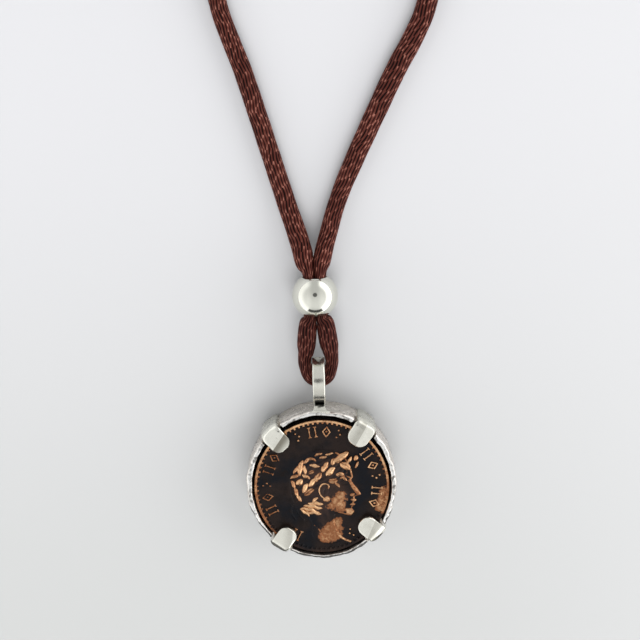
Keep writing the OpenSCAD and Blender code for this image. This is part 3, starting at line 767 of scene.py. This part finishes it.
# Each slice is a point on its plane and the side that is cut away
slices = [
    ((0, base_y, CUP_H * 0.985), (0, 0.035, 1)),
    ((0, neck_y, CUP_H * 0.88), (0, 0.62, 1)),
    ((0, CUP_L / 2, CUP_H * 0.12), (0, 0.9, -1)),
]
for point, normal in slices:
    geom = bm.verts[:] + bm.edges[:] + bm.faces[:]
    bmesh.ops.bisect_plane(bm, geom=geom, plane_co=Vector(point) * MM, plane_no=normal, clear_outer=True)
    close_holes(bm)
bmesh.ops.recalc_face_normals(bm, faces=bm.faces)
sharp = [e for e in bm.edges if e.calc_face_angle(0) > 0.6]
bmesh.ops.bevel(
    bm, geom=sharp, offset=0.14 * MM, segments=3, profile=0.5, affect="EDGES", material=-1, clamp_overlap=True
)
foot = finish_piece(bm, "bail_foot", silver.material)
carve(foot, [(Matrix.Translation((0, PIT_Y, 8.2 * MM)), (1.8, 0.9, 3))])

# %% [markdown]
# ## The coin's relief
# The design is worked out as a height over the coin's face. Each leaf, lock of hair, mark and pellet is
# one small stamp, and the head is a soft dome inside its outline. A second number, wear, says how much
# of the dark patina has been rubbed away there. The marks stand where a coin has its legend, and they are
# bars, lozenges and pellets.

# %% The design, in shares of the coin's radius
R = COIN_D / 2
# The outline of the head and the bust, from the forehead down
HEAD = [
    (0.405, 0.355), (0.445, 0.24), (0.465, 0.135), (0.445, 0.075), (0.58, -0.13), (0.485, -0.175),
    (0.505, -0.23), (0.47, -0.265), (0.49, -0.3), (0.445, -0.34), (0.47, -0.41), (0.405, -0.47),
    (0.24, -0.425), (0.175, -0.475), (0.195, -0.65), (0.31, -0.825), (0.07, -0.9), (-0.16, -0.785),
    (-0.175, -0.54), (-0.365, -0.38), (-0.475, -0.07), (-0.465, 0.2), (-0.34, 0.43), (-0.07, 0.57),
    (0.2, 0.535), (0.35, 0.445),
]
# Leaves and locks: x, y, turn, length, width, and share of the full height
LEAVES = [
    (0.288, 0.442, 33, 0.3, 0.115, 1), (0.175, 0.385, 62, 0.12, 0.08, 0.9),
    (0.51, 0.43, 70, 0.1, 0.08, 0.9), (0.42, 0.405, 60, 0.12, 0.06, 0.9),
    (0.355, 0.315, -35, 0.18, 0.13, 1), (0.52, 0.325, 65, 0.12, 0.055, 0.85),
    (0.27, 0.187, 0, 0.13, 0.075, 0.9), (0.168, 0.09, 6, 0.15, 0.09, 0.9),
    (0.048, 0.307, 60, 0.19, 0.1, 1), (0.13, 0.236, 45, 0.19, 0.1, 1), (-0.055, 0.145, 50, 0.2, 0.1, 1),
    (-0.13, 0.08, 47, 0.19, 0.085, 0.95), (-0.25, -0.01, 64, 0.17, 0.085, 0.9),
    (-0.19, -0.075, 34, 0.19, 0.085, 0.85), (-0.325, 0.08, 40, 0.13, 0.1, 0.9),
    (-0.225, 0.165, -30, 0.14, 0.065, 0.9), (-0.15, 0.23, 20, 0.1, 0.065, 0.85),
    (-0.1, 0.33, -12, 0.17, 0.06, 0.85),
]
LOCKS = [
    (-0.31, 0.3, 78, 0.26, 0.085, 0.85), (-0.375, 0.27, 55, 0.16, 0.06, 0.8),
    (-0.245, 0.27, 98, 0.15, 0.06, 0.8), (-0.4, 0.17, 24, 0.15, 0.065, 0.75),
    (-0.42, 0.05, -65, 0.14, 0.06, 0.7), (-0.13, 0.43, -20, 0.14, 0.05, 0.75),
    (-0.21, 0.41, 38, 0.14, 0.055, 0.7), (-0.04, 0.5, 20, 0.13, 0.045, 0.7),
    (0.03, 0.455, 12, 0.12, 0.045, 0.7), (0.12, 0.5, 12, 0.13, 0.04, 0.65),
    (-0.38, -0.07, 108, 0.15, 0.06, 0.7), (-0.34, -0.17, 124, 0.13, 0.055, 0.7),
    (0.33, 0.12, -32, 0.12, 0.05, 0.7), (0.23, 0.03, -52, 0.11, 0.045, 0.65),
    (-0.11, -0.2, 48, 0.13, 0.06, 0.75), (-0.1, -0.25, -4, 0.24, 0.065, 0.85),
    (-0.14, -0.3, -10, 0.3, 0.07, 0.9), (-0.18, -0.35, -16, 0.3, 0.07, 0.9),
    (-0.14, -0.4, -6, 0.26, 0.065, 0.85), (-0.26, -0.39, -40, 0.19, 0.06, 0.8),
]
# Each mark's place round the coin, and its kind: 0 a lozenge, 1 two bars, 2 three pellets
MARKS = [
    (205, 1), (190, 0), (175, 2), (160, 1), (146, 0), (112, 2), (98, 1), (84, 0), (70, 2),
    (36, 1), (22, 0), (8, 2), (-6, 1), (-20, 0), (-62, 2), (-118, 1),
]
RELIEF, BORDER_H, BORDER_W, PELLET, MARK_H, MARK_R = 0.8, 0.4, 0.65, 0.85, 0.35, 12.2


class Design:
    """The height and the wear over the coin's face, at the points x, y in millimetres."""

    def __init__(self, x, y):
        self.x, self.y = x, y
        self.height, self.wear = np.zeros_like(x), np.zeros_like(x)

    def local(self, x, y, turn):
        """Places in the directions of a stamp that lies at x, y."""
        c, s = math.cos(math.radians(turn)), math.sin(math.radians(turn))
        dx, dy = self.x - x, self.y - y
        return dx * c + dy * s, dy * c - dx * s

    def from_line(self, points):
        """Distance from a line through some points."""
        best = np.full_like(self.x, 1e9)
        for (x0, y0), (x1, y1) in zip(points, points[1:]):
            dx, dy = x1 - x0, y1 - y0
            t = np.clip(((self.x - x0) * dx + (self.y - y0) * dy) / (dx * dx + dy * dy), 0, 1)
            best = np.minimum(best, np.hypot(self.x - x0 - t * dx, self.y - y0 - t * dy))
        return best

    def leaf(self, x, y, turn, long, wide, high, rub, bend, wave, vein=0.0):
        a, b = self.local(x, y, turn)
        b = b + bend * a * a + wave * np.sin(a * 3.4 + x)
        edge = wide / 2 * np.sqrt(np.clip(1 - (2 * a / long) ** 2, 0, 1)) - np.abs(b)
        full = np.sqrt(np.clip(edge / (wide / 2), 0, 1))
        crown = full * (1 - vein * np.exp(-(((b - 0.08 * wide) / 0.13) ** 2)) * ramp(edge, 0, 0.2))
        self.height = np.maximum(self.height, high * crown)
        ridge = (crown / np.maximum(full, 0.01)) ** 1.5
        self.wear = np.maximum(self.wear, rub * ramp(full, 0.1, 0.75) * ridge)

    def dome(self, x, y, turn, long, wide, high, rub=0.0):
        a, b = self.local(x, y, turn)
        shape = np.clip(1 - (2 * a / long) ** 2 - (2 * b / wide) ** 2, 0, 1) ** 0.8
        self.height = self.height + high * shape
        self.wear = np.maximum(self.wear, rub * shape**0.4)

    def stroke(self, points, wide, high, rub=0.0, add=False):
        shape = ramp(wide / 2 - self.from_line(points), -0.06, wide / 2)
        self.height = self.height + high * shape if add else np.maximum(self.height, high * shape)
        self.wear = np.maximum(self.wear, rub * ramp(shape, 0.3, 0.7))

    def inside_of(self, outline):
        """Distance in from a closed outline, below zero outside it."""
        closed = outline + outline[:1]
        crossings = np.zeros(self.x.shape, int)
        for (x0, y0), (x1, y1) in zip(closed, closed[1:]):
            if y1 != y0:
                left_of = self.x < x0 + (self.y - y0) * (x1 - x0) / (y1 - y0)
                crossings += (self.y >= min(y0, y1)) & (self.y < max(y0, y1)) & left_of
        away = self.from_line(closed)
        return np.where(crossings % 2 == 1, away, -away)


def curved(points, steps=6):
    """A smooth line through a few points of the coin's face."""
    return [tuple(point) for point in smooth_line(points, steps)]


def softened(field, passes):
    """A field over a square grid, with its small forms smoothed away."""
    side = math.isqrt(len(field))
    soft = field.reshape(side, side)
    for _ in range(passes):
        wide = np.pad(soft, 1, mode="edge")
        soft = (soft * 2 + wide[2:, 1:-1] + wide[:-2, 1:-1] + wide[1:-1, 2:] + wide[1:-1, :-2]) / 6
    return soft.ravel()


def draw_head(d):
    profile = curved([(x * R, y * R) for x, y in HEAD + HEAD[:1]], 4)[:-1]
    inside = d.inside_of(profile)
    d.height = 0.16 * ramp(inside, -0.05, 0.3) + 0.3 * ramp(inside, 0, 3.4)
    # The face: its brow, eye, nose, lips, cheek, chin and jaw
    d.dome(3.9, -2.5, 25, 4.4, 3.4, 0.17)
    d.dome(3.7, -3.4, 60, 5.6, 4.4, 0.06, 0.7)
    d.dome(2.9, -4.9, -15, 5.2, 2.6, 0.1, 0.66)
    d.dome(5.2, 3.4, 60, 3.6, 1.8, 0.05, 0.5)
    outline = ramp(inside, 0.0, 0.12) * ramp(-inside, -0.6, -0.35)
    outline = outline * ramp(d.x, 2.6, 3.6) * ramp(d.y, -7.4, -6.9)
    d.wear = np.maximum(d.wear, 0.64 * outline)
    d.dome(5.1, 1.0, 10, 2.6, 1.7, -0.14)
    d.stroke(curved([(4.2, 2.0), (5.4, 2.35), (6.5, 1.75)]), 0.75, 0.14, 0.5, add=True)
    d.dome(5.25, 0.95, 8, 1.5, 0.75, 0.16, 0.3)
    d.stroke(curved([(4.3, 0.85), (5.2, 1.35), (6.1, 1.0)]), 0.3, 0.1, 0.4, add=True)
    d.stroke(curved([(4.4, 0.75), (5.3, 0.6), (6.0, 0.85)]), 0.24, 0.07, 0.2, add=True)
    d.stroke(curved([(6.15, 1.3), (6.9, -0.3), (7.9, -1.65)]), 1.15, 0.2, 0.66, add=True)
    d.dome(6.75, -2.0, 20, 1.5, 0.9, 0.14, 0.7)
    d.dome(6.95, -3.25, -10, 1.8, 0.6, 0.13, 0.7)
    d.dome(6.75, -4.25, 5, 1.7, 0.65, 0.14, 0.7)
    d.stroke([(5.5, -3.75), (6.9, -3.75)], 0.26, -0.12, add=True)
    d.dome(6.0, -5.75, -20, 2.4, 1.7, 0.16, 0.68)
    d.stroke(curved([(5.3, -6.5), (3.4, -6.1), (1.9, -4.6), (1.3, -2.4)]), 0.9, 0.08, add=True)
    # The ear, the neck and the shoulder with its folds
    d.dome(0.45, -1.05, 80, 3.4, 2.0, 0.2)
    d.dome(0.6, -1.0, 75, 1.7, 0.9, -0.22)
    ear = [(1.35, -2.6), (0.6, -2.7), (-0.35, -1.8), (-0.6, -0.6)]
    ear += [(-0.1, 0.45), (0.8, 0.75), (1.5, 0.3), (1.45, -0.3)]
    d.stroke(curved(ear), 0.5, 0.66, 0.95)
    d.dome(1.0, -2.8, 20, 1.8, 1.4, 0.14, 0.9)
    d.stroke(curved([(0.2, -4.0), (1.2, -6.6), (2.9, -9.6)]), 1.5, 0.12, add=True)
    d.dome(1.9, -10.7, 35, 7.2, 5.2, 0.22, 0.7)
    d.dome(3.0, -8.9, 60, 4.2, 3.0, 0.1, 0.68)
    d.stroke(curved([(3.2, -10.8), (4.3, -12.2), (6.0, -13.0)]), 0.9, 0.14, 0.8, add=True)
    d.stroke(curved([(-1.9, -8.9), (-0.5, -10.4), (0.9, -12.6)]), 0.6, 0.1, 0.6, add=True)
    d.stroke(curved([(-0.6, -8.4), (0.9, -10.2), (3.3, -11.9)]), 0.35, -0.09, add=True)
    # Fine hair under the wreath, then its locks and the bunch at the nape
    hair = ramp(inside, 0.1, 0.6) * ramp(d.y - 0.42 * d.x + 0.6, 0, 0.8) * ramp(-(d.x - 5.9), 0, 0.5)
    strand = np.sin((d.y - d.x * 0.7) * 5.2 + 1.5 * np.sin(d.x * 0.8) + 1.2 * np.sin(d.y * 0.9))
    d.height += hair * (0.07 * strand - 0.02)
    for x, y, turn, long, wide, high in LOCKS:
        width, rub, wave = (1.05, 1.0, 0.1) if y < -0.18 else (1.2, 0.8, 0.06)
        d.leaf(x * R, y * R, turn, long * R, wide * R * width, RELIEF * high, rub, 0.05, wave)
    for i, (x, y, turn, long, wide, high) in enumerate(LEAVES):
        rub, bend, vein = 0.88 + 0.12 * math.sin(i * 2.3), 0.09 * math.sin(i * 1.7), 0.3 * (i % 3 == 1)
        d.leaf(x * R, y * R, turn, long * R, wide * R * 1.08, RELIEF * high, rub, bend, 0.05, vein)
    # The ends of the wreath's ribbon, behind the neck
    d.stroke(curved([(-5.2, -3.0), (-6.6, -4.2), (-6.9, -5.9), (-6.1, -7.4)]), 0.4, 0.3, 0.35)
    d.stroke(curved([(-4.9, -3.2), (-5.6, -4.8), (-5.3, -6.4), (-4.2, -7.6)]), 0.35, 0.26, 0.3)


def draw_border(d):
    # The coin is a little oval, so its places are taken back to a circle
    level = d.y * R / (R + COIN_OVAL / 2)
    turn, far = np.degrees(np.arctan2(level, d.x)), np.hypot(d.x, level)
    size = R * 0.15
    for place, kind in MARKS:
        # The marks on the right are rubbed the most
        rub = 0.74 + 0.16 * math.cos(math.radians(place + 10))
        c, s = math.cos(math.radians(place)), math.sin(math.radians(place))
        ring = MARK_R + COIN_OVAL / 2 * s * s

        def at(out, along):
            return (ring + out) * c - along * s, (ring + out) * s + along * c

        if kind == 0:
            half, wide = size / 2, size * 0.36
            d.stroke([at(half, 0), at(0, wide), at(-half, 0), at(0, -wide), at(half, 0)], 0.5, MARK_H, rub)
            d.dome(*at(0, 0), 0, 0.6, 0.6, 0.2, rub)
        elif kind == 1:
            for bar in (-size * 0.3, size * 0.3):
                d.stroke([at(-size / 2, bar), at(size / 2, bar)], 0.5, MARK_H, rub)
                for end in (-size / 2, size / 2):
                    d.stroke([at(end, bar - 0.25), at(end, bar + 0.25)], 0.42, MARK_H, rub)
        else:
            for step in (-1, 0, 1):
                px, py = at(step * size * 0.36, abs(step) * size * 0.25)
                d.stroke([(px, py), (px + 0.01, py)], size * 0.34, MARK_H, rub)
    # A ring of pellets inside the raised border, and what the border has worn
    pellets = math.floor(360 / math.degrees(math.asin(1.25 * PELLET / (R - BORDER_W))))
    ring = R - BORDER_W - PELLET * 0.2
    along = (turn / 360 * pellets) % 1 - 0.5
    pellet = 1 - np.hypot(along * math.tau * ring / pellets, far - ring) / (PELLET / 2)
    d.height = np.maximum(d.height, BORDER_H * 0.9 * ramp(pellet, -0.1, 0.7))
    d.wear = np.maximum(d.wear, (0.5 + 0.3 * np.cos(np.radians(turn - 100))) * ramp(pellet, 0.1, 0.6))
    line_in = ramp(far, R - BORDER_W - 0.12, R - BORDER_W + 0.08) * ramp(-far, -R + 0.01, -R + 0.16)
    d.wear = np.maximum(d.wear, 0.66 * ramp(far, 11.6, 13.2) * ramp(-np.abs(turn + 13), -19, -8))
    d.height = np.maximum(d.height, BORDER_H * line_in)
    upper_left = 0.6 + 0.34 * np.cos(np.radians(turn - 105)) + 0.25 * ramp(-np.abs(turn - 18), -40, -10)
    d.wear = np.maximum(d.wear, upper_left * line_in)


# %% [markdown]
# ## The coin
# A square grid is squeezed into a disc, so that all of its points are on the coin. Its points are lifted
# by the design. Then its open edge is drawn down to make the coin's edge and back. What stands above its
# surroundings was rubbed first, so the copper shows there. Where the wear runs deeper the copper is
# lighter, partly as fresher wear and partly as a painted highlight on the crowns of the relief.

# %% Strike the coin
GRID = 290
coin_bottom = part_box("coin")[0].z
bm = bmesh.new()
bmesh.ops.create_grid(bm, x_segments=GRID, y_segments=GRID, size=1)
flat = np.array([v.co for v in bm.verts])
x = flat[:, 0] * np.sqrt(1 - flat[:, 1] ** 2 / 2) * R
y = flat[:, 1] * np.sqrt(1 - flat[:, 0] ** 2 / 2) * (R + COIN_OVAL / 2)
design = Design(x, y)
draw_head(design)
draw_border(design)
cast_skin = np.array([noise.fractal(Vector((a * 0.9, b * 0.9, 4.0)), 0.8, 2.2, 4) for a, b in zip(x, y)])
chips = np.array([noise.noise(Vector((a * 1.7, b * 1.7, 9.0))) for a, b in zip(x, y)])
relief = np.clip(design.height, 0, RELIEF)
height = np.clip(relief * (1 - 0.12 * np.clip(chips, 0, 1)) + 0.022 * cast_skin, -0.03, RELIEF)
wear_layer = bm.verts.layers.float.new("wear")
tall_layer = bm.verts.layers.float.new("tall")
proud = relief - softened(relief, 220)
on_face = ramp(x, 2.2, 3.2) * ramp(11.0 - np.hypot(x, y), 0, 1.5)
worn = np.clip(np.maximum(design.wear, 0.72 * ramp(proud, 0.0, 0.1) * on_face), 0, 1)
for vert, a, b, h, w in zip(bm.verts, x, y, height, worn):
    vert.co = (a * MM, (b - COIN_DROP) * MM, (FIELD_Z + h) * MM)
    vert[wear_layer] = w
    vert[tall_layer] = max(h, 0) / RELIEF
rim_edges = [e for e in bm.edges if e.is_boundary]
# Each row of the coin's edge drops by so many millimetres and shrinks
for drop, shrink in ((0.12, 1.0), (1.1, 1.0), (1.1, 1.0), (0.2, 0.985)):
    made = bmesh.ops.extrude_edge_only(bm, edges=rim_edges)["geom"]
    new_verts = [g for g in made if isinstance(g, bmesh.types.BMVert)]
    for v in new_verts:
        v.co.z = max(v.co.z - drop * MM, coin_bottom)
        v.co.x *= shrink
        v.co.y = (v.co.y + COIN_DROP * MM) * shrink - COIN_DROP * MM
        v[wear_layer] = 0.3
    rim_edges = [g for g in made if isinstance(g, bmesh.types.BMEdge) and g.is_boundary]
for v in new_verts:
    v.co.z = coin_bottom
close_holes(bm)

struck = Finish("dark patina over worn copper", Specular_IOR_Level=0.15)
wear_in, tall_in = struck.attribute("wear"), struck.attribute("tall")
coarse, medium, fine = struck.noise(150, 3), struck.noise(520, 4, 0.6), struck.noise(1700, 3, 0.6)
rubbed = struck.step(wear_in + (medium - 0.5) * 0.8 + (coarse - 0.5) * 0.4 + (fine - 0.5) * 0.5, 0.44, 0.56)
dark = struck.mix(struck.step(coarse, 0.38, 0.62), rgb(15, 17, 23), rgb(40, 30, 26))
dark = struck.mix(struck.step(medium, 0.45, 0.75), dark, rgb(24, 17, 14))
dark = struck.mix(struck.step(tall_in + (medium - 0.5) * 0.6, 0.25, 0.7) * 0.6, dark, rgb(74, 54, 45))
# Copper is lighter where the wear runs deeper: partly fresher wear, partly a painted highlight on the crowns.
bright = struck.step(wear_in + (fine - 0.5) * 0.8 + (medium - 0.5) * 0.9, 0.55, 1.1)
copper = struck.mix(bright, rgb(150, 98, 66), rgb(243, 196, 148))
copper = struck.mix(struck.step(fine, 0.58, 0.72) * 0.4, copper, rgb(70, 42, 30))
struck.set("Base Color", struck.mix(rubbed, dark, copper))
struck.set("Metallic", rubbed * 0.85 + 0.1)
struck.set("Roughness", struck.step(fine, 0.3, 0.7, 0.24, 0.42))
struck.set("Normal", struck.bump(medium * 0.5 + fine * 0.4, 0.00012, 0.6))
coin = finish_piece(bm, "struck_coin", struck.material)
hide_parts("coin")
